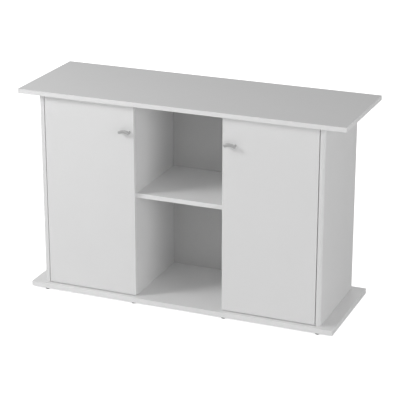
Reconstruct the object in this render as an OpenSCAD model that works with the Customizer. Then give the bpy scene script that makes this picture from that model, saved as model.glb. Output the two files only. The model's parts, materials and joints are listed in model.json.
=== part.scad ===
// Aquarium stand cabinet: white boards, an open middle bay and two hinged doors.
// +X is to the right, +Y to the back, +Z up. The origin is on the floor under the middle.

/* [Overall] */
// Width of the top plate
top_w = 1210; // [1150:5:1400]
// Depth of the top plate
top_d = 410; // [400:5:500]
// Width of the base plate
base_w = 1156; // [1110:2:1190]
// Depth of the base plate
base_d = 400; // [380:2:410]
// Clear height between the base plate and the top plate
carcass_h = 712; // [600:4:800]
// Thickness of the main boards
board_t = 16; // [16:1:19]
// Thickness of the base plate
base_t = 19; // [16:1:25]
// Setback of the base plate's front edge from the top plate's front edge
base_setback = 0; // [0:1:8]

/* [Carcass] */
// Clear width between the two side panels
inner_w = 1022; // [980:3:1040]
// Thickness of the side panels
side_t = 18; // [16:1:22]
// Radius of the side panels' front outer edge
side_edge_r = 8; // [3:1:12]
// Overhang of the base plate in front of the doors
front_lip = 18; // [18:1:24]
// Overhang of the base plate behind the carcass
rear_lip = 22; // [14:1:26]
// Height of the fixed middle shelf's underside above the base plate
mid_shelf_h = 370; // [280:1:440]
// Thickness of the back boards
back_t = 5; // [3:0.5:6]
// Distance of the back boards from the carcass's rear edge
back_inset = 10; // [6:1:20]
// Depth of the grooves that hold the back boards
groove_depth = 5; // [4:0.5:5.5]

/* [Doors] */
// Gap around a door at its hinge edge, top and bottom
door_gap = 3; // [2:0.5:4]
// Space between a closed door and the partition's front edge
buffer_gap = 2; // [1.5:0.5:3]
// Distance of each hinge from the door's top or bottom edge
hinge_inset = 95; // [80:5:140]
// How far the handles' middle lies below the top plate
handle_drop = 98; // [60:1:200]
// Distance from a door's free edge to the handle's middle
handle_edge = 31; // [30:1:60]

/* [Handles] */
// Distance between a handle's two screws
handle_pitch = 32; // [28:1:40]
// Width of a handle between the centres of its round ends
grip_w = 34; // [32:1:60]
// Radius of the handle's arched centre line
grip_arc_r = 36; // [33:1:90]
// Height of the handle's grip bar
grip_h = 11; // [9:1:14]
// Thickness of the handle's grip bar
grip_t = 5; // [4:0.5:6]
// How far the handle stands out from the door
grip_out = 18; // [14:1:18]

/* [Inner shelves] */
// Height of the adjustable shelves' pins above the base plate
pin_h = 344.5; // [248.5:32:408.5]
// Number of pin heights drilled above and below the one in use
pin_rows = 2; // [1:1:3]
// Spacing of the pin holes
pin_pitch = 32; // [32:32:64]
// Setback of the adjustable shelves from the door's face
shelf_setback = 30; // [28:1:60]

/* [Feet] */
// Height of the feet
foot_h = 8; // [5:1:20]
// Radius of a foot at its top
foot_r = 12; // [9:1:15]
// Distance of the feet from the base plate's front and back edges
foot_inset = 19; // [16:1:40]

/* [Hose openings] */
// Width of the hose opening in each side's back board
hose_w = 160; // [100:5:220]
// Height of the hose opening
hose_h = 70; // [50:5:100]
// Radius of the cable hole below it
cable_r = 25; // [15:1:35]

/* [Hidden] */
$fn = 64;
eps = 0.5;

// heights
z_base = foot_h;
z_floor = z_base + base_t;
z_roof = z_floor + carcass_h;

// depths
top_y = -top_d / 2;
base_y = top_y + base_setback;
door_y = base_y + front_lip;
door_back_y = door_y + board_t;
partition_y = door_back_y + buffer_gap;
rear_y = base_y + base_d - rear_lip;
back_y = rear_y - back_inset - back_t;

// widths
side_x = inner_w / 2;
bay_w = (inner_w - 2 * board_t) / 3;
bay_x = bay_w / 2;
partition_x = bay_x + board_t;
door_w = side_x - door_gap - bay_x;
door_h = carcass_h - 2 * door_gap;
door_z = z_floor + door_gap;

// top and base plates
plate_corner_r = 3;

// fixed middle shelf
mid_z = z_floor + mid_shelf_h;
mid_depth = back_y - eps - partition_y;

// two places along Y: one behind the doors' face, one before the carcass's rear edge
function front_and_rear(front, rear) = [door_y + front, rear_y - rear];

// knock-down fittings: cam locks, their bolts, and dowels
cam_r = 7.4;
cam_hole_r = 7.5;
cam_len = 12.2;
cam_depth = 12.6;
cam_drop = 34;
cam_play = 0.2;
cam_slot_l = 9;
cam_slot_w = 1.6;
cam_slot_d = 1.8;
bolt_thread_r = 2.45;
bolt_thread_len = 10.5;
bolt_shank_r = 3;
bolt_head_r = 3.5;
bolt_head_len = 4;
bolt_neck_r = 2;
bolt_neck_len = 6;
bolt_way_r = 4;
bolt_hole_r = 2.5;
bolt_hole_len = 11;
mid_thread_len = 8;
dowel_r = 3.95;
dowel_hole_r = 4;
dowel_end = 10.5;
dowel_deep = 19.5;
dowel_play = 0.5;
dowel_mid_end = 8;
cap_r = 8.5;
cap_t = 0.8;
cam_inset = 70;
dowel_inset = 40;
mid_cam_inset = 100;
mid_dowel_inset = 140;
cam_ys = front_and_rear(cam_inset, cam_inset);
dowel_ys = front_and_rear(dowel_inset, dowel_inset);
mid_cam_ys = front_and_rear(mid_cam_inset, mid_cam_inset);
mid_dowel_ys = front_and_rear(mid_dowel_inset, mid_dowel_inset);

// each upright: [inner face for the cams, direction into the board, middle of the board]
uprights = [
    for (s = [-1, 1]) [s * side_x, s, s * (side_x + side_t / 2)],
    for (s = [-1, 1]) [s * partition_x, -s, s * (partition_x - board_t / 2)]
];

// concealed hinge, in plan from the side panel's inner face and the door's front face
pin_x = 14;
pin_y = 7.6;
pin_r = 1.25;
pin_half = 8;
pin_fit = 0.03;
eye_r = 2.3;
eye_half = 4;
lug_gap = 0.3;
cup_x = 26.5;
cup_r = 17.5;
cup_wall = 1;
cup_play = 0.1;
cup_depth = 12;
cup_lug_w = 7;
cup_lug_d = 5.5;
flange_r = 19;
flange_t = 1;
wing_half = 30;
wing_w = 11;
wing_r = 3.6;
cup_screw_offset = 6;
cup_screw_x = cup_x + cup_screw_offset;
cup_screw_z = 24;
cup_screw_r = 1.6;
cup_screw_len = 10;
cup_head_r = 3.2;
cup_head_t = 1.5;
arm_t = 2.8;
arm_leg_x = 28;
arm_back_y = 33;
arm_foot_half = 8;
arm_overhang = 2;
plate_t = 2;
plate_block_x = 10;
plate_block_y = 36;
plate_block_len = 30;
plate_block_half = 6.5;
plate_wing_y = 53;
plate_wing_w = 13;
plate_wing_half = 24;
plate_wing_r = 5;
plate_screw_z = 16;
plate_screw_r = 1.9;
plate_screw_len = 12;
plate_head_r = 3.6;
plate_head_t = 1.8;
arm_screw_y = 58;
arm_screw_r = 2;
arm_screw_len = 9;
eye_play = 0.05;
arm_head_r = 4;
arm_head_t = 2;
hinge_zs = [door_z + hinge_inset, door_z + door_h - hinge_inset];
screw_play = 0.05;

// handles
handle_x = bay_x + handle_edge;
handle_z = z_roof - handle_drop;
post_r = 4;
handle_screw_r = 2;
handle_head_r = 3.8;
handle_head_t = 2.2;
handle_thread = 10;

// door buffers
buffer_r = 4;
buffer_t = 1.8;
buffer_inset = 12;

// adjustable shelves and their pins
pin_peg_r = 2.45;
pin_hole_r = 2.5;
pin_peg_len = 8;
pin_hole_len = 8.5;
pin_collar_r = 4.5;
pin_collar_t = 0.8;
pin_arm_r = 3.5;
pin_arm_len = 8;
shelf_play = 0.8;
shelf_back_gap = 8;
pin_front = 60;
pin_rear = 55;
pin_ys = front_and_rear(pin_front, pin_rear);
pin_z = z_floor + pin_h;
shelf_z = pin_z + pin_arm_r;
shelf_w = bay_w - 2 * pin_collar_t - shelf_play;
shelf_d = back_y - shelf_back_gap - (door_y + shelf_setback);

// feet
foot_taper = 2;
foot_tip_r = foot_r - foot_taper;
foot_screw_r = 2;
foot_screw_len = 11;
foot_head_r = 4;
foot_head_t = 2.4;
foot_head_z = 1;
foot_ys = [base_y + foot_inset, base_y + base_d - foot_inset];

// back boards
groove_play = 0.1;
back_tuck = groove_depth - eps;
hose_r = 20;
hose_drop = 95;
cable_rise = 80;

// ---- helpers -----------------------------------------------------------

// A box given by its low corner and its size
module box(corner, size) {
    translate(corner) cube(size);
}

// A cylinder along +X, -X, +Y or -Y, from the given point
module rod_x(p, r, len, dir = 1) {
    translate(p) rotate([0, 90 * dir, 0]) cylinder(r = r, h = len);
}

module rod_y(p, r, len, dir = 1) {
    translate(p) rotate([-90 * dir, 0, 0]) cylinder(r = r, h = len);
}

// Flat rectangle with round corners, centred
module round_rect(w, h, r) {
    square([w - 2 * r, h], center = true);
    square([w, h - 2 * r], center = true);
    for (x = [-1, 1], y = [-1, 1])
        translate([x * (w / 2 - r), y * (h / 2 - r)]) circle(r);
}

// Puts a hinge part drawn in plan on the left (-1) or right (1) side at height z
module at_hinge(side, z) {
    translate([side * side_x, door_y, z])
        if (side > 0) mirror([1, 0, 0]) children();
        else children();
}

// Children at each upright's two joint positions, at the top or the base plate
module at_ends() {
    translate([0, 0, z_roof]) children();
    translate([0, 0, z_floor]) mirror([0, 0, 1]) children();
}

// ---- plates ------------------------------------------------------------

// Blind holes for the bolts and dowels, going up from z = 0
module plate_drilling() {
    for (u = uprights) {
        for (y = cam_ys) translate([u[2], y, -eps])
            cylinder(r = bolt_hole_r, h = bolt_hole_len + eps);
        for (y = dowel_ys) translate([u[2], y, -eps])
            cylinder(r = dowel_hole_r, h = dowel_end + dowel_play + eps);
    }
}

module top_panel() {
    color("white") difference() {
        translate([0, 0, z_roof]) linear_extrude(board_t) round_rect(top_w, top_d, plate_corner_r);
        translate([0, 0, z_roof]) plate_drilling();
    }
}

module base_panel() {
    color("white") difference() {
        translate([0, base_y + base_d / 2, z_base])
            linear_extrude(base_t) round_rect(base_w, base_d, plate_corner_r);
        translate([0, 0, z_floor]) mirror([0, 0, 1]) plate_drilling();
        for (u = uprights, y = foot_ys) translate([u[2], y, z_base - eps])
            cylinder(r = foot_screw_r + screw_play, h = foot_screw_len + eps);
    }
}

// ---- uprights ----------------------------------------------------------

// Holes in an upright for cams, bolts and dowels at both of its ends
module upright_drilling(u) {
    at_ends() {
        for (y = cam_ys) {
            rod_x([u[0] - u[1] * eps, y, -cam_drop], cam_hole_r, cam_depth + eps, u[1]);
            translate([u[2], y, -cam_drop]) cylinder(r = bolt_way_r, h = cam_drop + eps);
        }
        for (y = dowel_ys) translate([u[2], y, -dowel_deep - dowel_play])
            cylinder(r = dowel_hole_r, h = dowel_deep + dowel_play + eps);
    }
}

// Rows of holes for the adjustable shelf's pins in the face at x, going along dir
module pin_drilling(x, dir) {
    for (y = pin_ys, i = [-pin_rows : pin_rows])
        rod_x([x - dir * eps, y, pin_z + i * pin_pitch], pin_hole_r, pin_hole_len + eps, dir);
}

// Groove for a back board in the face at x, going along dir
module back_groove(x, dir) {
    low_x = dir > 0 ? x - eps : x - groove_depth;
    box([low_x, back_y - groove_play, z_floor - eps],
        [groove_depth + eps, back_t + 2 * groove_play, carcass_h + 2 * eps]);
}

module side_panel(s) {
    r = side_edge_r;
    depth = rear_y - door_y;
    color("white") difference() {
        translate([s * side_x, door_y, z_floor]) mirror([s < 0 ? 1 : 0, 0, 0])
            linear_extrude(carcass_h) {
                translate([0, r]) square([side_t, depth - r]);
                square([side_t - r, depth]);
                translate([side_t - r, r]) circle(r);
            }
        upright_drilling([s * side_x, s, s * (side_x + side_t / 2)]);
        pin_drilling(s * side_x, s);
        back_groove(s * side_x, s);
        for (z = hinge_zs, dz = [-plate_screw_z, plate_screw_z])
            rod_x([s * (side_x - eps), door_y + plate_wing_y, z + dz],
                plate_screw_r + screw_play, plate_screw_len + eps, s);
    }
}

module partition(s) {
    outer = s * partition_x;
    inner = s * bay_x;
    color("white") difference() {
        box([min(outer, inner), partition_y, z_floor], [board_t, rear_y - partition_y, carcass_h]);
        upright_drilling([outer, -s, s * (partition_x - board_t / 2)]);
        pin_drilling(outer, -s);
        back_groove(outer, -s);
        back_groove(inner, s);
        for (y = mid_cam_ys)
            rod_x([inner - s * eps, y, mid_z + board_t / 2], bolt_hole_r, mid_thread_len + 2 * eps, s);
        for (y = mid_dowel_ys)
            rod_x([inner - s * eps, y, mid_z + board_t / 2], dowel_hole_r, dowel_mid_end + 2 * eps, s);
    }
}

module left_side_panel() { side_panel(-1); }
module right_side_panel() { side_panel(1); }
module left_partition() { partition(-1); }
module right_partition() { partition(1); }

// ---- shelves and back boards --------------------------------------------

module centre_shelf() {
    mid = mid_z + board_t / 2;
    color("white") difference() {
        box([-bay_x, partition_y, mid_z], [bay_w, mid_depth, board_t]);
        for (s = [-1, 1]) {
            for (y = mid_cam_ys) {
                translate([s * (bay_x - cam_drop), y, mid_z - eps])
                    cylinder(r = cam_hole_r, h = cam_depth + eps);
                rod_x([s * (bay_x + eps), y, mid], bolt_way_r, cam_drop + eps, -s);
            }
            for (y = mid_dowel_ys)
                rod_x([s * (bay_x + eps), y, mid], dowel_hole_r, dowel_deep + dowel_play + eps, -s);
        }
    }
}

// A back board between x0 and x1, tucked into the grooves on both sides
module back_board(x0, x1) {
    box([x0 - back_tuck, back_y, z_floor], [x1 - x0 + 2 * back_tuck, back_t, carcass_h]);
}

module side_back_panel(s) {
    mid_x = s * (partition_x + side_x) / 2;
    x0 = min(s * partition_x, s * side_x);
    color("ghostwhite") difference() {
        back_board(x0, x0 + side_x - partition_x);
        translate([mid_x, back_y + back_t + eps, z_roof - hose_drop]) rotate([90, 0, 0])
            linear_extrude(back_t + 2 * eps) round_rect(hose_w, hose_h, hose_r);
        rod_y([mid_x, back_y - eps, z_floor + cable_rise], cable_r, back_t + 2 * eps);
    }
}

module left_back_panel() { side_back_panel(-1); }
module right_back_panel() { side_back_panel(1); }
module centre_back_panel() { color("ghostwhite") back_board(-bay_x, bay_x); }

module inner_shelf(s) {
    mid_x = s * (partition_x + side_x) / 2;
    color("white")
        box([mid_x - shelf_w / 2, door_y + shelf_setback, shelf_z], [shelf_w, shelf_d, board_t]);
}

module left_inner_shelf() { inner_shelf(-1); }
module right_inner_shelf() { inner_shelf(1); }

// One pin in the face at x, whose hole goes along dir
module shelf_pin(x, y, dir) {
    rod_x([x, y, pin_z], pin_peg_r, pin_peg_len, dir);
    rod_x([x, y, pin_z], pin_collar_r, pin_collar_t, -dir);
    rod_x([x, y, pin_z], pin_arm_r, pin_arm_len, -dir);
}

module shelf_pins() {
    color("silver") for (s = [-1, 1], y = pin_ys) {
        shelf_pin(s * side_x, y, s);
        shelf_pin(s * partition_x, y, -s);
    }
}

// ---- feet ----------------------------------------------------------------

module feet() {
    color("dimgray") for (u = uprights, y = foot_ys) translate([u[2], y, 0]) difference() {
        cylinder(r1 = foot_tip_r, r2 = foot_r, h = foot_h);
        translate([0, 0, -eps])
            cylinder(r = foot_head_r + 2 * screw_play, h = foot_head_z + foot_head_t + eps);
        cylinder(r = foot_screw_r + screw_play, h = foot_h + eps);
    }
}

module foot_screws() {
    color("silver") for (u = uprights, y = foot_ys) translate([u[2], y, foot_head_z]) {
        cylinder(r = foot_head_r, h = foot_head_t);
        cylinder(r = foot_screw_r, h = z_base - foot_head_z + foot_screw_len - eps);
    }
}

// ---- knock-down fittings ---------------------------------------------------

// Cam lock in the face at x = face, going along dir; its bolt comes down from +Z at x = axis_x
module cam_lock(face, dir, axis_x) {
    difference() {
        rod_x([face, 0, 0], cam_r, cam_len, dir);
        for (size = [[cam_slot_l, cam_slot_w], [cam_slot_w, cam_slot_l]])
            translate([face, 0, 0]) cube([2 * cam_slot_d, size[0], size[1]], center = true);
        translate([axis_x, 0, 0]) cylinder(r = bolt_neck_r + cam_play, h = cam_r + eps);
        translate([axis_x, 0, -bolt_head_len / 2 - cam_play])
            cylinder(r = bolt_head_r + cam_play, h = bolt_head_len + 2 * cam_play);
    }
}

// Bolt whose head sits in the cam at z = 0 and whose thread enters the board at z = cam_drop
module cam_bolt(axis_x, thread_len) {
    neck_end = bolt_head_len / 2 + bolt_neck_len;
    translate([axis_x, 0, 0]) {
        translate([0, 0, -bolt_head_len / 2]) cylinder(r = bolt_head_r, h = bolt_head_len);
        cylinder(r = bolt_neck_r, h = neck_end);
        translate([0, 0, neck_end]) cylinder(r = bolt_shank_r, h = cam_drop - neck_end);
        translate([0, 0, cam_drop]) cylinder(r = bolt_thread_r, h = thread_len);
    }
}

// Children at the middle shelf's four cams, turned so that +X is up and +Z points outwards
module at_shelf_cams() {
    for (y = mid_cam_ys) {
        translate([bay_x - cam_drop, y, mid_z]) rotate(a = 180, v = [1, 0, 1]) children();
        translate([cam_drop - bay_x, y, mid_z]) rotate([0, -90, 0]) children();
    }
}

module cam_locks() {
    color("silver") at_ends() for (u = uprights, y = cam_ys)
        translate([0, y, -cam_drop]) cam_lock(u[0], u[1], u[2]);
}

module cam_bolts() {
    color("silver") at_ends() for (u = uprights, y = cam_ys)
        translate([0, y, -cam_drop]) cam_bolt(u[2], bolt_thread_len);
}

module shelf_cam_locks() {
    color("silver") at_shelf_cams() cam_lock(0, 1, board_t / 2);
}

module shelf_cam_bolts() {
    color("silver") at_shelf_cams() cam_bolt(board_t / 2, mid_thread_len);
}

module cam_cover_caps() {
    color("white") {
        at_ends() for (u = uprights, y = cam_ys)
            rod_x([u[0], y, -cam_drop], cap_r, cap_t, -u[1]);
        at_shelf_cams() rod_x([0, 0, 0], cap_r, cap_t, -1);
    }
}

module wood_dowels() {
    color("burlywood") at_ends() for (u = uprights, y = dowel_ys)
        translate([u[2], y, -dowel_deep]) cylinder(r = dowel_r, h = dowel_deep + dowel_end);
}

module shelf_dowels() {
    color("burlywood") for (s = [-1, 1], y = mid_dowel_ys)
        rod_x([s * (bay_x + dowel_mid_end), y, mid_z + board_t / 2],
            dowel_r, dowel_mid_end + dowel_deep, -s);
}

// ---- hinges ------------------------------------------------------------------

module mounting_plate(side, z) {
    color("silver") at_hinge(side, z) difference() {
        union() {
            box([0, plate_block_y, -plate_block_half],
                [plate_block_x, plate_block_len, 2 * plate_block_half]);
            translate([0, plate_wing_y, 0]) rotate([90, 0, 90])
                linear_extrude(plate_t) round_rect(plate_wing_w, 2 * plate_wing_half, plate_wing_r);
        }
        for (dz = [-plate_screw_z, plate_screw_z])
            rod_x([-eps, plate_wing_y, dz], plate_screw_r + screw_play, plate_t + 2 * eps);
        rod_x([plate_block_x + eps, arm_screw_y, 0],
            arm_screw_r + screw_play, arm_screw_len - arm_t + 2 * eps, -1);
    }
}

module left_upper_mounting_plate() { mounting_plate(-1, hinge_zs[1]); }
module left_lower_mounting_plate() { mounting_plate(-1, hinge_zs[0]); }
module right_upper_mounting_plate() { mounting_plate(1, hinge_zs[1]); }
module right_lower_mounting_plate() { mounting_plate(1, hinge_zs[0]); }

// Bent arm from the pin, out of the cup and back onto the mounting plate
module hinge_arm(side, z) {
    low_y = pin_y - arm_t / 2;
    cross_y = arm_back_y - arm_t;
    foot_len = plate_block_y + plate_block_len + arm_overhang - cross_y;
    color("silver") at_hinge(side, z) difference() {
        union() {
            translate([pin_x, pin_y, -eye_half]) cylinder(r = eye_r, h = 2 * eye_half);
            box([pin_x, low_y, -eye_half], [arm_leg_x - pin_x, arm_t, 2 * eye_half]);
            box([arm_leg_x - arm_t, low_y, -eye_half], [arm_t, arm_back_y - low_y, 2 * eye_half]);
            box([plate_block_x, cross_y, -arm_foot_half],
                [arm_leg_x - plate_block_x, arm_t, 2 * arm_foot_half]);
            box([plate_block_x, cross_y, -arm_foot_half], [arm_t, foot_len, 2 * arm_foot_half]);
        }
        translate([pin_x, pin_y, -eye_half - eps])
            cylinder(r = pin_r + eye_play, h = 2 * (eye_half + eps));
        rod_x([plate_block_x - eps, arm_screw_y, 0], arm_screw_r + screw_play, arm_t + 2 * eps);
    }
}

module left_upper_hinge_arm() { hinge_arm(-1, hinge_zs[1]); }
module left_lower_hinge_arm() { hinge_arm(-1, hinge_zs[0]); }
module right_upper_hinge_arm() { hinge_arm(1, hinge_zs[1]); }
module right_lower_hinge_arm() { hinge_arm(1, hinge_zs[0]); }

// Round pot let into the door, with a screwed flange and two lugs that hold the pin
module hinge_cup(side, z) {
    outer_r = cup_r - cup_play;
    inner_r = outer_r - cup_wall;
    floor_y = board_t - cup_depth;
    color("silver") at_hinge(side, z) difference() {
        union() {
            difference() {
                union() {
                    rod_y([cup_x, floor_y, 0], outer_r, cup_depth);
                    translate([cup_x, board_t + flange_t, 0]) rotate([90, 0, 0])
                        linear_extrude(flange_t) {
                            circle(flange_r);
                            translate([cup_screw_x - cup_x, 0])
                                round_rect(wing_w, 2 * wing_half, wing_r);
                        }
                }
                rod_y([cup_x, floor_y + cup_wall, 0], inner_r, cup_depth + flange_t);
            }
            intersection() {
                rod_y([cup_x, floor_y, 0], outer_r, cup_depth);
                for (low_z = [eye_half + lug_gap, -pin_half])
                    box([cup_x - cup_r, floor_y, low_z],
                        [cup_lug_w, cup_lug_d + cup_wall, pin_half - eye_half - lug_gap]);
            }
        }
        translate([pin_x, pin_y, -pin_half - eps])
            cylinder(r = pin_r + pin_fit, h = 2 * (pin_half + eps));
        for (dz = [-cup_screw_z, cup_screw_z])
            rod_y([cup_screw_x, board_t - eps, dz], cup_screw_r + screw_play, flange_t + 2 * eps);
    }
}

module left_upper_hinge_cup() { hinge_cup(-1, hinge_zs[1]); }
module left_lower_hinge_cup() { hinge_cup(-1, hinge_zs[0]); }
module right_upper_hinge_cup() { hinge_cup(1, hinge_zs[1]); }
module right_lower_hinge_cup() { hinge_cup(1, hinge_zs[0]); }

module hinge_pins(side) {
    color("dimgray") for (z = hinge_zs) at_hinge(side, z)
        translate([pin_x, pin_y, -pin_half]) cylinder(r = pin_r, h = 2 * pin_half);
}

module left_hinge_pins() { hinge_pins(-1); }
module right_hinge_pins() { hinge_pins(1); }

module cup_screws(side) {
    color("silver") for (z = hinge_zs, dz = [-cup_screw_z, cup_screw_z]) at_hinge(side, z + dz) {
        rod_y([cup_screw_x, board_t + flange_t, 0], cup_head_r, cup_head_t);
        rod_y([cup_screw_x, board_t + flange_t, 0], cup_screw_r, cup_screw_len, -1);
    }
}

module left_cup_screws() { cup_screws(-1); }
module right_cup_screws() { cup_screws(1); }

module mounting_plate_screws() {
    color("silver") for (side = [-1, 1], z = hinge_zs, dz = [-plate_screw_z, plate_screw_z])
        at_hinge(side, z + dz) {
            rod_x([plate_t, plate_wing_y, 0], plate_head_r, plate_head_t);
            rod_x([plate_t, plate_wing_y, 0], plate_screw_r, plate_screw_len, -1);
        }
}

module hinge_arm_screws() {
    head_x = plate_block_x + arm_t;
    color("silver") for (side = [-1, 1], z = hinge_zs) at_hinge(side, z) {
        rod_x([head_x, arm_screw_y, 0], arm_head_r, arm_head_t);
        rod_x([head_x, arm_screw_y, 0], arm_screw_r, arm_screw_len, -1);
    }
}

// ---- doors --------------------------------------------------------------------

module door(side) {
    low_x = side > 0 ? bay_x : -bay_x - door_w;
    color("white") difference() {
        box([low_x, door_y, door_z], [door_w, board_t, door_h]);
        for (z = hinge_zs) at_hinge(side, z) {
            rod_y([cup_x, board_t - cup_depth, 0], cup_r, cup_depth + eps);
            for (dz = [-cup_screw_z, cup_screw_z])
                rod_y([cup_screw_x, board_t + eps, dz], cup_screw_r + screw_play, cup_screw_len, -1);
        }
        for (dx = [-handle_pitch / 2, handle_pitch / 2]) {
            rod_y([side * handle_x + dx, door_y - eps, handle_z],
                handle_screw_r + 2 * screw_play, board_t + 2 * eps);
            rod_y([side * handle_x + dx, door_back_y + eps, handle_z],
                handle_head_r + 2 * screw_play, handle_head_t + eps, -1);
        }
    }
}

module left_door() { door(-1); }
module right_door() { door(1); }

// Arched bar seen from the front, with its screws' line at y = 0
module grip_shape() {
    end = [grip_w / 2, sqrt(pow(grip_arc_r, 2) - pow(grip_w / 2, 2))];
    translate([0, -sqrt(pow(grip_arc_r, 2) - pow(handle_pitch / 2, 2))]) {
        intersection() {
            difference() {
                circle(grip_arc_r + grip_h / 2);
                circle(grip_arc_r - grip_h / 2);
            }
            polygon([[0, 0], 2 * [-end[0], end[1]], 2 * end]);
        }
        for (x = [-end[0], end[0]]) translate([x, end[1]]) circle(grip_h / 2);
    }
}

module handle(side) {
    color("darkgray") translate([side * handle_x, door_y, handle_z]) difference() {
        union() {
            translate([0, grip_t - grip_out, 0]) rotate([90, 0, 0])
                linear_extrude(grip_t) grip_shape();
            for (dx = [-handle_pitch / 2, handle_pitch / 2])
                rod_y([dx, 0, 0], post_r, grip_out - grip_t / 2, -1);
        }
        for (dx = [-handle_pitch / 2, handle_pitch / 2])
            rod_y([dx, eps, 0], handle_screw_r + screw_play, handle_thread + 2 * eps, -1);
    }
}

module left_handle() { handle(-1); }
module right_handle() { handle(1); }

module handle_screws(side) {
    color("silver") for (dx = [-handle_pitch / 2, handle_pitch / 2]) {
        rod_y([side * handle_x + dx, door_back_y, handle_z], handle_head_r, handle_head_t, -1);
        rod_y([side * handle_x + dx, door_back_y, handle_z],
            handle_screw_r, board_t + handle_thread, -1);
    }
}

module left_handle_screws() { handle_screws(-1); }
module right_handle_screws() { handle_screws(1); }

module door_buffers(side) {
    color("gainsboro") for (z = [door_z + buffer_inset, door_z + door_h - buffer_inset])
        rod_y([side * (partition_x - board_t / 2), door_back_y, z], buffer_r, buffer_t);
}

module left_door_buffers() { door_buffers(-1); }
module right_door_buffers() { door_buffers(1); }

// ---- nodes ---------------------------------------------------------------------

top_panel();
base_panel();
left_side_panel();
right_side_panel();
left_partition();
right_partition();
centre_shelf();
left_back_panel();
centre_back_panel();
right_back_panel();
left_inner_shelf();
right_inner_shelf();
shelf_pins();
feet();
foot_screws();
cam_locks();
cam_bolts();
cam_cover_caps();
wood_dowels();
shelf_cam_locks();
shelf_cam_bolts();
shelf_dowels();
left_upper_mounting_plate();
left_lower_mounting_plate();
right_upper_mounting_plate();
right_lower_mounting_plate();
left_upper_hinge_arm();
left_lower_hinge_arm();
right_upper_hinge_arm();
right_lower_hinge_arm();
mounting_plate_screws();
hinge_arm_screws();
left_door();
left_handle();
left_handle_screws();
left_upper_hinge_cup();
left_lower_hinge_cup();
left_hinge_pins();
left_cup_screws();
left_door_buffers();
right_door();
right_handle();
right_handle_screws();
right_upper_hinge_cup();
right_lower_hinge_cup();
right_hinge_pins();
right_cup_screws();
right_door_buffers();
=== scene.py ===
import json
import math

import bmesh
import bpy
from mathutils import Matrix, Vector


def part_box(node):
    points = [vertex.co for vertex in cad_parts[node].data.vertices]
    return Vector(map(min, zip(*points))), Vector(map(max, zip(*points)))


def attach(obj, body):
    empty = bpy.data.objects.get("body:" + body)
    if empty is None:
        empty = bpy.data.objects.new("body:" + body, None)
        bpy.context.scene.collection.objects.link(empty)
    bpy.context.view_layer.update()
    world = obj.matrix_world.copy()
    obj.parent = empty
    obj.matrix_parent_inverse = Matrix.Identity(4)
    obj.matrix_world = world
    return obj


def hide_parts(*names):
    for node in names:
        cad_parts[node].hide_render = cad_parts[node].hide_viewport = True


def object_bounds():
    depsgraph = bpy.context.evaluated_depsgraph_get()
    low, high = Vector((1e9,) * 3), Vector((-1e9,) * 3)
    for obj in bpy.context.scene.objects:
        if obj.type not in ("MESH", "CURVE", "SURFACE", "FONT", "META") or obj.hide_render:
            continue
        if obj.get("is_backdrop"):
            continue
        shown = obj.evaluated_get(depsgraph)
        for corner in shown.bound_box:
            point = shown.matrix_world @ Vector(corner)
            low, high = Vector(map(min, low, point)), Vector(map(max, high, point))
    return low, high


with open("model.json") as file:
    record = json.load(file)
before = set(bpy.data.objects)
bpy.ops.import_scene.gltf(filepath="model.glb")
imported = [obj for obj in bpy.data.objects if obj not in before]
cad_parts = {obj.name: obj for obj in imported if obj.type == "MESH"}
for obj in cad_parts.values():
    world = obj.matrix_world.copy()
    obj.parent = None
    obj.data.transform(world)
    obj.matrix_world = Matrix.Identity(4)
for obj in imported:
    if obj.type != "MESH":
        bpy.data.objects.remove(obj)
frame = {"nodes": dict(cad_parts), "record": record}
cad_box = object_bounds()

SIDES = ("left", "right")
LEVELS = ("upper", "lower")
MM = 0.001
FULL_TURN = 2.0 * math.pi

# ---- node helpers ----------------------------------------------------------


def node(tree, kind, **values):
    """A shader node, with properties by name and input values by socket name or number."""
    made = tree.nodes.new(kind)
    for key, value in values.pop("inputs", {}).items():
        made.inputs[key].default_value = value
    for key, value in values.items():
        setattr(made, key, value)
    return made


def feed(tree, value, socket):
    """Sets a socket to a number, or links another node's output to it."""
    if isinstance(value, (int, float)):
        socket.default_value = value
    else:
        tree.links.new(value, socket)


def noise(tree, vector, scale, detail=2.0, roughness=0.5):
    """Smooth noise at vector, where scale, a number or an output, is the blobs per metre."""
    made = node(tree, "ShaderNodeTexNoise", inputs={"Detail": detail, "Roughness": roughness})
    feed(tree, vector, made.inputs["Vector"])
    feed(tree, scale, made.inputs["Scale"])
    return made.outputs["Fac"]


def drawn_out(tree, vector, factors):
    """vector with its axes scaled: noise read there is drawn out along an axis with a small factor."""
    made = node(tree, "ShaderNodeVectorMath", operation="MULTIPLY", inputs={1: factors})
    feed(tree, vector, made.inputs[0])
    return made.outputs["Vector"]


def remap(tree, value, low, high, start=0.3, end=0.7):
    """value, stretched from start..end to low..high."""
    made = node(
        tree,
        "ShaderNodeMapRange",
        inputs={"From Min": start, "From Max": end, "To Min": low, "To Max": high},
    )
    feed(tree, value, made.inputs["Value"])
    return made.outputs["Result"]


def maths(tree, operation, a, b):
    """The result of a Math node on a and b, each a number or an output."""
    made = node(tree, "ShaderNodeMath", operation=operation)
    for socket, value in zip(made.inputs, (a, b)):
        feed(tree, value, socket)
    return made.outputs["Value"]


# ---- surface groups ----------------------------------------------------------


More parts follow.
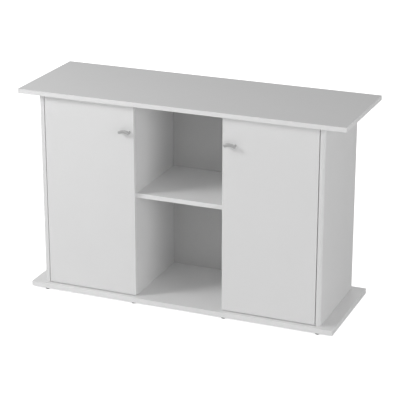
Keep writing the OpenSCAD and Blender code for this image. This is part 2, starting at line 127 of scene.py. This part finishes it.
def surface_group(name, grain):
    """An empty group for a surface, with its input and output nodes and grain as its default scale."""
    tree = bpy.data.node_groups.new(name, "ShaderNodeTree")
    given = (
        ("Vector", "NodeSocketVector", None),
        ("Colour", "NodeSocketColor", (0.8, 0.8, 0.8, 1.0)),
        ("Roughness", "NodeSocketFloat", 0.4),
        ("Grain per metre", "NodeSocketFloat", grain),
        ("Unevenness", "NodeSocketFloat", 1.0),
    )
    for label, kind, default in given:
        socket = tree.interface.new_socket(label, in_out="INPUT", socket_type=kind)
        if default is not None:
            socket.default_value = default
    for label, kind in (
        ("Colour", "NodeSocketColor"),
        ("Roughness", "NodeSocketFloat"),
        ("Height", "NodeSocketFloat"),
    ):
        tree.interface.new_socket(label, in_out="OUTPUT", socket_type=kind)
    return tree, tree.nodes.new("NodeGroupInput"), tree.nodes.new("NodeGroupOutput")


def finish_group(tree, start, end, tone, mottle, spread, height):
    """Puts out the colour times tone, the roughness varied by mottle over spread, and the relief."""
    shade = node(tree, "ShaderNodeVectorMath", operation="SCALE")
    feed(tree, start.outputs["Colour"], shade.inputs["Vector"])
    feed(tree, tone, shade.inputs["Scale"])
    swing = maths(tree, "MULTIPLY", remap(tree, mottle, -spread, spread), start.outputs["Unevenness"])
    feed(tree, shade.outputs["Vector"], end.inputs["Colour"])
    feed(tree, maths(tree, "ADD", start.outputs["Roughness"], swing), end.inputs["Roughness"])
    feed(tree, height, end.inputs["Height"])
    return tree


def moulded_skin():
    """The pebbled skin of melamine, edge strips and moulded plastic, with smudges and a trace of dust."""
    tree, start, end = surface_group("moulded_skin", grain=900.0)
    vector = start.outputs["Vector"]
    pebbles = noise(tree, vector, start.outputs["Grain per metre"], detail=2.0, roughness=0.45)
    cloud = noise(tree, vector, scale=2.6, detail=3.0)
    smudge = noise(tree, vector, scale=17.0, detail=5.0, roughness=0.6)
    dust = noise(tree, vector, scale=260.0, detail=4.0, roughness=0.7)
    dust_tone = remap(tree, dust, 0.988, 1.0, 0.25, 0.5)
    tone = maths(tree, "MULTIPLY", remap(tree, cloud, 0.985, 1.0), dust_tone)
    return finish_group(tree, start, end, tone, smudge, 0.06, pebbles)


def drawn_metal():
    """The fine lines that brushing or drawing leaves along X, with a mottled plating."""
    tree, start, end = surface_group("drawn_metal", grain=2600.0)
    along_x = drawn_out(tree, start.outputs["Vector"], (0.04, 1.0, 1.0))
    lines = noise(tree, along_x, start.outputs["Grain per metre"], detail=3.0, roughness=0.6)
    mottle = noise(tree, start.outputs["Vector"], scale=210.0, detail=4.0, roughness=0.6)
    tone = maths(tree, "MULTIPLY", remap(tree, lines, 0.93, 1.0), remap(tree, mottle, 0.95, 1.0))
    return finish_group(tree, start, end, tone, mottle, 0.06, lines)


def pressed_fibre():
    """Lacquered fibreboard, raw board and turned beech: short fibres that run along Z."""
    tree, start, end = surface_group("pressed_fibre", grain=700.0)
    along_z = drawn_out(tree, start.outputs["Vector"], (1.0, 1.0, 0.22))
    fibres = noise(tree, along_z, start.outputs["Grain per metre"], detail=5.0, roughness=0.65)
    cloud = noise(tree, start.outputs["Vector"], scale=5.0, detail=3.0)
    tone = maths(tree, "MULTIPLY", remap(tree, fibres, 0.95, 1.0), remap(tree, cloud, 0.97, 1.0))
    return finish_group(tree, start, end, tone, fibres, 0.07, fibres)


GROUPS = {"moulded": moulded_skin(), "drawn": drawn_metal(), "fibre": pressed_fibre()}

# ---- materials -------------------------------------------------------------

BUMP_DEPTH = 0.1 * MM
MATERIALS = {}


def material(name, skin, colour, roughness, grain, relief, unevenness=1.0, **shader_values):
    """A Principled material whose colour, roughness and relief come from one of the surface groups."""
    made = bpy.data.materials.new(name)
    made.use_nodes = True
    tree = made.node_tree
    shader = tree.nodes["Principled BSDF"]
    for key, value in shader_values.items():
        shader.inputs[key.replace("_", " ")].default_value = value
    place = node(tree, "ShaderNodeTexCoord")
    surface = node(tree, "ShaderNodeGroup", node_tree=GROUPS[skin])
    surface.inputs["Colour"].default_value = (*colour, 1.0)
    surface.inputs["Roughness"].default_value = roughness
    surface.inputs["Grain per metre"].default_value = grain
    surface.inputs["Unevenness"].default_value = unevenness
    bump = node(tree, "ShaderNodeBump", inputs={"Strength": relief, "Distance": BUMP_DEPTH})
    tree.links.new(place.outputs["Object"], surface.inputs["Vector"])
    tree.links.new(surface.outputs["Height"], bump.inputs["Height"])
    tree.links.new(surface.outputs["Colour"], shader.inputs["Base Color"])
    tree.links.new(surface.outputs["Roughness"], shader.inputs["Roughness"])
    tree.links.new(bump.outputs["Normal"], shader.inputs["Normal"])
    MATERIALS[name] = made


def grey(value):
    return (value, value, value)


# the boards: their faces, glued edges, lacquered backs and the particle board inside
material("white_melamine", "moulded", grey(0.86), roughness=0.42, grain=850.0, relief=0.45)
material("edge_strip", "moulded", grey(0.91), roughness=0.36, grain=2200.0, relief=0.2)
material("white_backboard", "fibre", grey(0.66), roughness=0.55, grain=700.0, relief=0.4)
material("raw_board", "fibre", (0.50, 0.39, 0.26), roughness=0.85, grain=900.0, relief=1.0)
material("beech", "fibre", (0.62, 0.43, 0.24), roughness=0.62, grain=1100.0, relief=0.7)

# the metals: handles, pressed hinges, screws and pins, and cast cams
SATIN = {"unevenness": 0.5, "Metallic": 0.55}
NICKEL = {"unevenness": 0.3, "Metallic": 1.0}
ZINC = {"unevenness": 0.5, "Metallic": 1.0}
material("satin_handle", "drawn", grey(0.57), roughness=0.52, grain=2600.0, relief=0.25, **SATIN)
material("nickel_steel", "drawn", (0.80, 0.79, 0.77), roughness=0.26, grain=1800.0, relief=0.04, **NICKEL)
material("zinc_steel", "drawn", (0.76, 0.77, 0.79), roughness=0.36, grain=2400.0, relief=0.08, **ZINC)
material("cast_zinc", "moulded", (0.62, 0.62, 0.64), roughness=0.5, grain=1500.0, relief=0.8, Metallic=1.0)

# the plastics: feet, cover caps and door buffers
SOFT_CLEAR = {"Transmission_Weight": 0.6, "IOR": 1.43}
material("grey_plastic", "moulded", grey(0.06), roughness=0.5, grain=2600.0, relief=0.6)
material("white_plastic", "moulded", grey(0.82), roughness=0.4, grain=2600.0, relief=0.3)
material("clear_rubber", "moulded", grey(0.82), roughness=0.22, grain=1500.0, relief=0.2, **SOFT_CLEAR)

SLOT_OF = {row["node"]: row["material_slot"] for row in frame["record"]["subparts"]}
BODY_OF = {name: body for body, names in frame["record"]["behaviour"]["bodies"].items() for name in names}

# ---- mesh helpers -----------------------------------------------------------

AXES = {"x": 0, "y": 1, "z": 2}
SHARP = math.radians(32.0)
NEARLY_FLAT = math.radians(0.4)
WELD = 0.001 * MM


def merged(name):
    """A bmesh of a CAD node with its loose triangles joined and its flat faces made whole."""
    made = bmesh.new()
    made.from_mesh(frame["nodes"][name].data)
    bmesh.ops.remove_doubles(made, verts=made.verts, dist=2 * WELD)
    bmesh.ops.dissolve_limit(
        made,
        angle_limit=NEARLY_FLAT,
        use_dissolve_boundaries=False,
        verts=made.verts,
        edges=made.edges,
        delimit=set(),
    )
    return made


def rounded(made, width, segments=3, chosen=None):
    """Rounds the outward corners of made, or only the chosen ones."""
    edges = [
        edge
        for edge in made.edges
        if edge.is_manifold
        and edge.is_convex
        and edge.calc_face_angle() > SHARP
        and (chosen is None or chosen(edge))
    ]
    bmesh.ops.bevel(
        made,
        geom=edges,
        offset=width,
        offset_type="OFFSET",
        segments=segments,
        profile=0.5,
        affect="EDGES",
        clamp_overlap=True,
        material=-1,
    )
    return made


def finished(made, name, materials, body, replaced, slot):
    """A shown piece from a bmesh: flat faces stay flat, round ones are smooth, and it rides on its body."""
    mesh = bpy.data.meshes.new(name)
    for face in made.faces:
        face.smooth = True
    made.to_mesh(mesh)
    made.free()
    mesh.set_sharp_from_angle(angle=SHARP)
    for entry in materials:
        mesh.materials.append(MATERIALS[entry])
    piece = bpy.data.objects.new(name, mesh)
    bpy.context.scene.collection.objects.link(piece)
    shading = piece.modifiers.new("flat_faces_first", "WEIGHTED_NORMAL")
    shading.keep_sharp = True
    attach(piece, body)
    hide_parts(*replaced)
    return piece


def fitting(made, name):
    """The finished piece that stands for one CAD node, in that node's finish."""
    return finished(made, name + "_piece", [SLOT_OF[name]], BODY_OF[name], [name], SLOT_OF[name])


def solids(name):
    """The lowest and highest corner of each separate solid in a CAD node."""
    made = merged(name)
    waiting = set(made.verts)
    boxes = []
    while waiting:
        reached = [waiting.pop()]
        places = []
        while reached:
            vert = reached.pop()
            places.append(vert.co.copy())
            linked = {edge.other_vert(vert) for edge in vert.link_edges} & waiting
            waiting -= linked
            reached.extend(linked)
        boxes.append((Vector(tuple(map(min, *places))), Vector(tuple(map(max, *places)))))
    made.free()
    return sorted(boxes, key=lambda box: tuple(box[0]))


def turned(outline, steps=32, ring=False):
    """A closed shape turned round Z from its (radius, height) outline, or a ring if that is a loop."""
    part = bmesh.new()
    verts = [part.verts.new((radius, 0.0, height)) for radius, height in outline]
    pairs = list(zip(verts, verts[1:]))
    if ring:
        pairs.append((verts[-1], verts[0]))
    edges = [part.edges.new(pair) for pair in pairs]
    bmesh.ops.spin(
        part,
        geom=verts + edges,
        cent=(0, 0, 0),
        axis=(0, 0, 1),
        angle=FULL_TURN,
        steps=steps,
        use_merge=True,
    )
    bmesh.ops.remove_doubles(part, verts=part.verts, dist=WELD)
    bmesh.ops.recalc_face_normals(part, faces=part.faces)
    return part


def quarter(radius, height, across, up, start=0.0, end=90.0, steps=4):
    """Points of an elliptical corner round (radius, height), from start to end degrees."""
    turns = [math.radians(start + (end - start) * i / steps) for i in range(steps + 1)]
    return [(radius + across * math.cos(turn), height + up * math.sin(turn)) for turn in turns]


def carved(part, cutter):
    """part with the shape of cutter taken out."""
    pair = []
    for each in (part, cutter):
        mesh = bpy.data.meshes.new("carving")
        each.to_mesh(mesh)
        each.free()
        pair.append(bpy.data.objects.new("carving", mesh))
        bpy.context.scene.collection.objects.link(pair[-1])
    cut = pair[0].modifiers.new("carve", "BOOLEAN")
    cut.object = pair[1]
    cut.operation = "DIFFERENCE"
    cut.solver = "EXACT"
    cut.use_self = True
    result = bmesh.new()
    result.from_object(pair[0], bpy.context.evaluated_depsgraph_get())
    for each in pair:
        mesh = each.data
        bpy.data.objects.remove(each)
        bpy.data.meshes.remove(mesh)
    return result


def stamp(made, part, place, direction):
    """Adds a copy of part, which is drawn along +Z, standing at place and pointing along direction."""
    mesh = bpy.data.meshes.new("stamp")
    part.to_mesh(mesh)
    turn = Vector(direction).to_track_quat("Z", "Y").to_matrix().to_4x4()
    mesh.transform(Matrix.Translation(place) @ turn)
    made.from_mesh(mesh)
    bpy.data.meshes.remove(mesh)


def middle(box):
    return (box[0] + box[1]) / 2


def end_of(box, direction):
    """The middle of the end of a box that direction points to."""
    reach = (box[1] - box[0]) / 2
    return middle(box) + Vector([step * size for step, size in zip(direction, reach)])


def placed(name, part_of, direction_of, hanging=False, measure=max):
    """The piece for a CAD node of like solids, with a turned part in the place of each.

    part_of(radius, length) draws the part along +Z, from Z = 0 up, or down from Z = 0 if hanging.
    direction_of(box) is where +Z points. measure picks the radius from the solid's two widths.
    """
    made = bmesh.new()
    parts = {}
    for box in solids(name):
        direction = direction_of(box)
        size = box[1] - box[0]
        along = max(range(3), key=lambda axis: abs(direction[axis]))
        radius = measure(size[axis] for axis in range(3) if axis != along) / 2
        length = size[along]
        model = (round(radius / WELD), round(length / WELD))
        if model not in parts:
            parts[model] = part_of(radius, length)
        stamp(made, parts[model], end_of(box, direction if hanging else -direction), direction)
    for part in parts.values():
        part.free()
    return fitting(made, name)


# ---- directions ---------------------------------------------------------------

BACK, UP, DOWN = Vector((0, 1, 0)), Vector((0, 0, 1)), Vector((0, 0, -1))
COMPARTMENT_X = abs(middle(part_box("left_inner_shelf")).x)
CARCASS_MIDDLE = middle(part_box("left_side_panel")).z


def inwards(box):
    """From the nearer side of the stand towards its middle."""
    return Vector((-math.copysign(1.0, middle(box).x), 0.0, 0.0))


def outwards(box):
    """From the middle of the stand towards its nearer side."""
    return -inwards(box)


def to_compartment(box):
    """From a side panel or a partition into the compartment between them."""
    return inwards(box) if abs(middle(box).x) > COMPARTMENT_X else outwards(box)


def to_plate(box):
    """Up or down, towards the nearer of the top plate and the base plate."""
    return UP if box[0].z > CARCASS_MIDDLE else DOWN


def lengthwise(box):
    """Along the longest side of the box."""
    size = box[1] - box[0]
    along = max(range(3), key=lambda axis: size[axis])
    return Vector([float(axis == along) for axis in range(3)])


def cap_direction(box):
    """Down for the flat caps under the middle shelf, and into the compartment for those on the uprights."""
    size = box[1] - box[0]
    return DOWN if size.z < size.x else to_compartment(box)


# ---- boards -------------------------------------------------------------------


def board(name, strips, corner=0.7 * MM, facing="white_melamine"):
    """A faced board with glued edge strips on the given sides, such as "y-" for the front.

    Its bores, grooves and ends without a strip show the raw board inside.
    """
    strip_t = 1.0 * MM
    outline_reach = 3.0 * MM
    nothing = 0.01 * MM
    low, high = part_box(name)
    thin = min(range(3), key=lambda axis: high[axis] - low[axis])
    made = merged(name)
    edges_at = []
    for side in strips:
        axis, sign = AXES[side[0]], 1 if side[1] == "+" else -1
        edge_at = (high if sign > 0 else low)[axis]
        edges_at.append((axis, edge_at))
        point, normal = Vector(), Vector()
        point[axis] = edge_at - sign * strip_t
        normal[axis] = 1.0
        geometry = made.verts[:] + made.edges[:] + made.faces[:]
        bmesh.ops.bisect_plane(made, geom=geometry, plane_co=point, plane_no=normal, dist=WELD)

    def on_outline(edge):
        return all(sorted([*(vert.co - low), *(high - vert.co)])[1] < outline_reach for vert in edge.verts)

    for face in made.faces:
        centre = face.calc_center_median()
        faced = min(centre[thin] - low[thin], high[thin] - centre[thin]) < nothing
        wrapped = abs(face.normal.z) < nothing and all(on_outline(edge) for edge in face.edges)
        if any(abs(edge_at - centre[axis]) < strip_t for axis, edge_at in edges_at):
            face.material_index = 1
        elif not faced and not wrapped:
            face.material_index = 2
    rounded(made, corner, chosen=on_outline)
    finishes = [facing, "edge_strip", "raw_board"]
    return finished(made, name + "_board", finishes, BODY_OF[name], [name], SLOT_OF[name])


ALL_ROUND = ("x-", "x+", "y-", "y+")
board("top_panel", ALL_ROUND, corner=1.2 * MM)
board("base_panel", ALL_ROUND, corner=1.2 * MM)
for side in SIDES:
    board(side + "_side_panel", ("y+",))
    board(side + "_partition", ("y-", "y+"))
    board(side + "_inner_shelf", ("y-",))
    board(side + "_door", ("x-", "x+", "z-", "z+"), corner=0.8 * MM)
board("centre_shelf", ("y-",))
for name in ("left_back_panel", "centre_back_panel", "right_back_panel"):
    board(name, (), corner=0.3 * MM, facing="white_backboard")

# ---- screws, bolts and dowels -----------------------------------------------------


def tooth(core_r, crest_r, start, end):
    """The outline of one tooth, after its first point at the core at start, to the core at end."""
    crest_from, crest_to = 0.45, 0.6
    span = end - start
    return [(crest_r, start + span * crest_from), (crest_r, start + span * crest_to), (core_r, end)]


def thread(core_r, crest_r, top, bottom, pitch):
    """The saw-toothed outline of a thread, from top down to bottom."""
    turns = max(1, round((top - bottom) / pitch))
    step = (bottom - top) / turns
    points = [(core_r, top)]
    for i in range(turns):
        points += tooth(core_r, crest_r, top + step * i, top + step * (i + 1))
    return points


def cross_cutter(reach, width, depth):
    """The tapered cross of a driver's tip, pointing down from Z = 0."""
    cutter = bmesh.new()
    taper = 0.55
    for size in ((reach, width), (width, reach)):
        cube = bmesh.ops.create_cube(cutter, size=1.0)["verts"]
        bmesh.ops.scale(cutter, vec=(2 * size[0], 2 * size[1], 2 * depth), verts=cube)
        low = [vert for vert in cube if vert.co.z < 0]
        bmesh.ops.scale(cutter, vec=(taper, taper, 1.0), verts=low)
    return cutter


def screw(head_r, head_t, crest_r, length):
    """A round-headed cross-recess screw that hangs down from Z = 0, the top of its head."""
    pitch = 1.25 * MM
    crown_r = head_r * 0.55
    crown_t = head_t * 0.8
    shank_r = crest_r * 0.78
    tip_r = shank_r * 0.35
    outline = [(0.0, 0.0)]
    outline += quarter(crown_r, -crown_t, head_r - crown_r, crown_t, 90.0, 0.0)
    outline += [(head_r, -head_t), (crest_r, -head_t), (crest_r, -head_t - pitch)]
    outline += thread(shank_r, crest_r, -head_t - pitch, 1.2 * pitch - length, pitch)
    outline += [(tip_r, -length), (0.0, -length)]
    return carved(turned(outline, 24), cross_cutter(crown_r, head_r * 0.13, head_t * 0.75))


def screws(name, direction_of, head_t, crest_r):
    """The screws of a CAD node, with their heads towards direction_of(box)."""

    def part_of(radius, length):
        return screw(radius, head_t, crest_r, length)

    return placed(name, part_of, direction_of, hanging=True)


screws("mounting_plate_screws", inwards, head_t=1.8 * MM, crest_r=1.9 * MM)
screws("hinge_arm_screws", inwards, head_t=2.0 * MM, crest_r=2.0 * MM)
screws("foot_screws", lambda box: DOWN, head_t=2.4 * MM, crest_r=2.0 * MM)
for side in SIDES:
    screws(side + "_cup_screws", lambda box: BACK, head_t=1.5 * MM, crest_r=1.6 * MM)
    screws(side + "_handle_screws", lambda box: BACK, head_t=2.2 * MM, crest_r=2.0 * MM)


def cam_bolt(length, barb_len):
    """A cam bolt standing on Z = 0: ball head, neck, a shank with a shoulder, and one long barb."""
    head_r, neck_r, shank_r, crest_r = 3.5 * MM, 2.0 * MM, 3.0 * MM, 2.45 * MM
    head_t, neck_t, cone_t, head_edge = 4.0 * MM, 6.0 * MM, 0.4 * MM, 1.0 * MM
    tip_t = 0.6 * MM
    core_r, tip_r = crest_r * 0.75, crest_r * 0.5
    neck_end = head_t + neck_t
    shank_end = length - barb_len
    outline = [(0.0, 0.0)]
    outline += quarter(head_r - head_edge, head_edge, head_edge, head_edge, -90.0, 0.0)
    outline += quarter(head_r - head_edge, head_t - head_edge, head_edge, head_edge)
    outline += [(neck_r, head_t), (neck_r, neck_end), (shank_r, neck_end + cone_t)]
    outline += [(shank_r, shank_end), (core_r, shank_end)]
    outline += tooth(core_r, crest_r, shank_end, length - tip_t)
    outline += [(tip_r, length), (0.0, length)]
    return turned(outline, 20)


placed("cam_bolts", lambda radius, length: cam_bolt(length, 10.5 * MM), to_plate)
placed("shelf_cam_bolts", lambda radius, length: cam_bolt(length, 8.0 * MM), outwards)


def dowel(radius, length):
    """A fluted beech dowel with chamfered ends, standing on Z = 0."""
    flutes = 20
    flute_depth = 0.35 * MM
    chamfer = 1.2 * MM
    end_r = radius - 0.7 * chamfer
    outline = [(0.0, 0.0), (end_r, 0.0), (radius, chamfer)]
    outline += [(radius, length - chamfer), (end_r, length), (0.0, length)]
    part = turned(outline, 2 * flutes)
    for vert in part.verts:
        place = vert.co.xy
        step = round(math.atan2(place.y, place.x) / FULL_TURN * 2 * flutes)
        if step % 2 and place.length > radius - 0.1 * MM:
            vert.co.xy = place * (1.0 - flute_depth / radius)
    return part


placed("wood_dowels", dowel, lengthwise, measure=min)
placed("shelf_dowels", dowel, lengthwise, measure=min)

# ---- caps, pins, feet and buffers --------------------------------------------------


def cover_cap(radius, height):
    """A shallow domed cap with a thin rim and a small dimple in the middle."""
    rim = height * 0.35
    dimple_r, dimple_at = radius * 0.09, height * 0.93
    outline = [(0.0, 0.0), (radius * 0.985, 0.0), (radius, rim * 0.5), (radius * 0.99, rim)]
    outline += quarter(0.0, rim, radius * 0.96, height - rim, 12.0, 84.0, 7)
    outline += [(dimple_r, dimple_at), (0.0, dimple_at)]
    return turned(outline, 40)


def bumper(radius, height):
    """A soft domed door buffer."""
    wall = height * 0.3
    outline = [(0.0, 0.0), (radius * 0.97, 0.0), (radius, height * 0.12)]
    outline += quarter(radius * 0.45, wall, radius * 0.5, height - wall, steps=6)
    return turned(outline + [(0.0, height)], 32)


def foot(radius, height):
    """A tapered glide with a rolled lower edge and a sunk hole for its screw."""
    tip_r, sink_r, sink_t, hole_r = radius - 2.0 * MM, 4.15 * MM, 3.4 * MM, 2.1 * MM
    flange_t, edge, sink_edge, roll = 1.6 * MM, 0.4 * MM, 0.3 * MM, 1.2 * MM
    outline = [(hole_r, 0.0), (radius - edge, 0.0), (radius, edge), (radius, flange_t)]
    outline += [(radius - 0.5 * MM, flange_t + edge), (tip_r + 0.3 * MM, height - roll)]
    outline += quarter(tip_r - roll, height - roll, roll, roll, start=15.0)
    outline += [(sink_r + sink_edge, height), (sink_r, height - sink_edge)]
    outline += [(sink_r, height - sink_t), (hole_r, height - sink_t)]
    return turned(outline, 40, ring=True)


def shelf_pin(radius, length):
    """A plated shelf pin: the peg from Z = 0, a collar and the arm that carries the shelf."""
    peg_r, peg_len, collar_t, arm_r = 2.45 * MM, 8.0 * MM, 0.8 * MM, 3.5 * MM
    edge, collar_edge = 0.5 * MM, 0.2 * MM
    collar_end = peg_len + collar_t
    outline = [(0.0, 0.0), (peg_r - edge, 0.0), (peg_r, edge), (peg_r, peg_len)]
    outline += [(radius - collar_edge, peg_len), (radius, peg_len + collar_edge)]
    outline += [(radius, collar_end - collar_edge), (radius - collar_edge, collar_end), (arm_r, collar_end)]
    outline += quarter(arm_r - edge, length - edge, edge, edge, steps=3)
    return turned(outline + [(0.0, length)], 28)


def hinge_pin(radius, length):
    """A plain pin with chamfered ends."""
    edge = 0.3 * MM
    outline = [(0.0, 0.0), (radius - edge, 0.0), (radius, edge)]
    return turned(outline + [(radius, length - edge), (radius - edge, length), (0.0, length)], 20)


placed("cam_cover_caps", cover_cap, cap_direction)
placed("feet", foot, lambda box: DOWN)
placed("shelf_pins", shelf_pin, to_compartment)
for side in SIDES:
    placed(side + "_door_buffers", bumper, lambda box: BACK)
    placed(side + "_hinge_pins", hinge_pin, lambda box: UP)

# ---- cams, hinges and handles --------------------------------------------------------

for name in ("cam_locks", "shelf_cam_locks"):
    fitting(rounded(merged(name), 0.25 * MM, segments=2), name)


def handle(name):
    """An arched bar on two posts, its front edge rounded like a pillow."""
    bar_depth, front_edge, back_edge = 5.0 * MM, 2.1 * MM, 0.9 * MM
    level = 0.05 * MM
    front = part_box(name)[0].y
    made = merged(name)

    def at_y(place):
        return lambda edge: all(abs(vert.co.y - place) < level for vert in edge.verts)

    rounded(made, front_edge, segments=5, chosen=at_y(front))
    rounded(made, back_edge, chosen=at_y(front + bar_depth))
    return fitting(made, name)


HINGE_EDGES = {"hinge_cup": 0.25 * MM, "hinge_arm": 0.7 * MM, "mounting_plate": 0.5 * MM}
for side in SIDES:
    handle(side + "_handle")
    for level in LEVELS:
        for part, corner in HINGE_EDGES.items():
            name = f"{side}_{level}_{part}"
            fitting(rounded(merged(name), corner), name)

# ---- studio ---------------------------------------------------------------------


def floor():
    """A plain pale floor, wider than the view, which the camera sees brightened like a studio sweep."""
    half = 30.0
    glow = 0.85
    made = bmesh.new()
    bmesh.ops.create_grid(made, x_segments=1, y_segments=1, size=half)
    mesh = bpy.data.meshes.new("floor")
    made.to_mesh(mesh)
    made.free()
    piece = bpy.data.objects.new("floor", mesh)
    bpy.context.scene.collection.objects.link(piece)
    pale = bpy.data.materials.new("pale_floor")
    pale.use_nodes = True
    tree = pale.node_tree
    shader = tree.nodes["Principled BSDF"]
    shader.inputs["Base Color"].default_value = (0.9, 0.9, 0.9, 1.0)
    shader.inputs["Roughness"].default_value = 0.9
    shader.inputs["Specular IOR Level"].default_value = 0.0
    shader.inputs["Emission Color"].default_value = (1.0, 1.0, 1.0, 1.0)
    path = node(tree, "ShaderNodeLightPath")
    strength = maths(tree, "MULTIPLY", path.outputs["Is Camera Ray"], glow)
    tree.links.new(strength, shader.inputs["Emission Strength"])
    mesh.materials.append(pale)
    piece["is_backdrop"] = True


def sky(strength):
    """Even soft light from all round, which the camera sees as white."""
    world = bpy.data.worlds.new("studio")
    bpy.context.scene.world = world
    world.use_nodes = True
    tree = world.node_tree
    background = tree.nodes["Background"]
    background.inputs["Color"].default_value = (1.0, 1.0, 1.0, 1.0)
    path = node(tree, "ShaderNodeLightPath")
    seen = remap(tree, path.outputs["Is Camera Ray"], strength, 1.0, start=0.0, end=1.0)
    tree.links.new(seen, background.inputs["Strength"])


def facing(place, target):
    """The turn of a lamp or a camera at place that looks at target."""
    return (Vector(target) - Vector(place)).to_track_quat("-Z", "Y").to_euler()


def soft_box(name, place, target, width, height, power):
    """A rectangular soft light at place, facing target."""
    lamp = bpy.data.lights.new(name, "AREA")
    lamp.shape = "RECTANGLE"
    lamp.size = width
    lamp.size_y = height
    lamp.energy = power
    light = bpy.data.objects.new(name, lamp)
    light.location = place
    light.rotation_euler = facing(place, target)
    bpy.context.scene.collection.objects.link(light)


def camera():
    """The viewpoint: right of the middle, well back, looking down at the stand."""
    sensor = 36.0
    focal_in_frames = 3.9192
    azimuth, elevation = math.radians(22.408), math.radians(20.007)
    level = math.cos(elevation)
    back = Vector((math.sin(azimuth) * level, -math.cos(azimuth) * level, math.sin(elevation)))
    lens = bpy.data.cameras.new("camera")
    lens.sensor_width = sensor
    lens.lens = sensor * focal_in_frames
    lens.clip_end = 100.0
    view = bpy.data.objects.new("camera", lens)
    view.location = (2.0161, -4.8751, 2.2745)
    view.rotation_euler = facing(back, (0.0, 0.0, 0.0))
    bpy.context.scene.collection.objects.link(view)
    bpy.context.scene.camera = view


CABINET = (0.0, 0.0, 0.4)
floor()
sky(0.365)
soft_box("key", (-2.3, -1.7, 2.4), CABINET, 0.9, 0.9, power=45.0)
soft_box("fill", (3.7, -2.2, 1.2), CABINET, 1.8, 1.8, power=35.0)
soft_box("front", (0.6, -3.4, 2.6), CABINET, 1.6, 1.2, power=7.5)
# wholly below the top plate, so that it lights the back and not the top
soft_box("back", (-1.2, 3.9, 0.38), (0.0, 0.0, 0.38), 2.4, 0.6, power=30.0)
camera()
bpy.context.scene.view_settings.view_transform = "Standard"

# ---- bounds of the CAD parts and the shown pieces --------------------------------

boxes = {"cad": cad_box, "visual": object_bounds()}
{key: [list(low), list(high)] for key, (low, high) in boxes.items()}
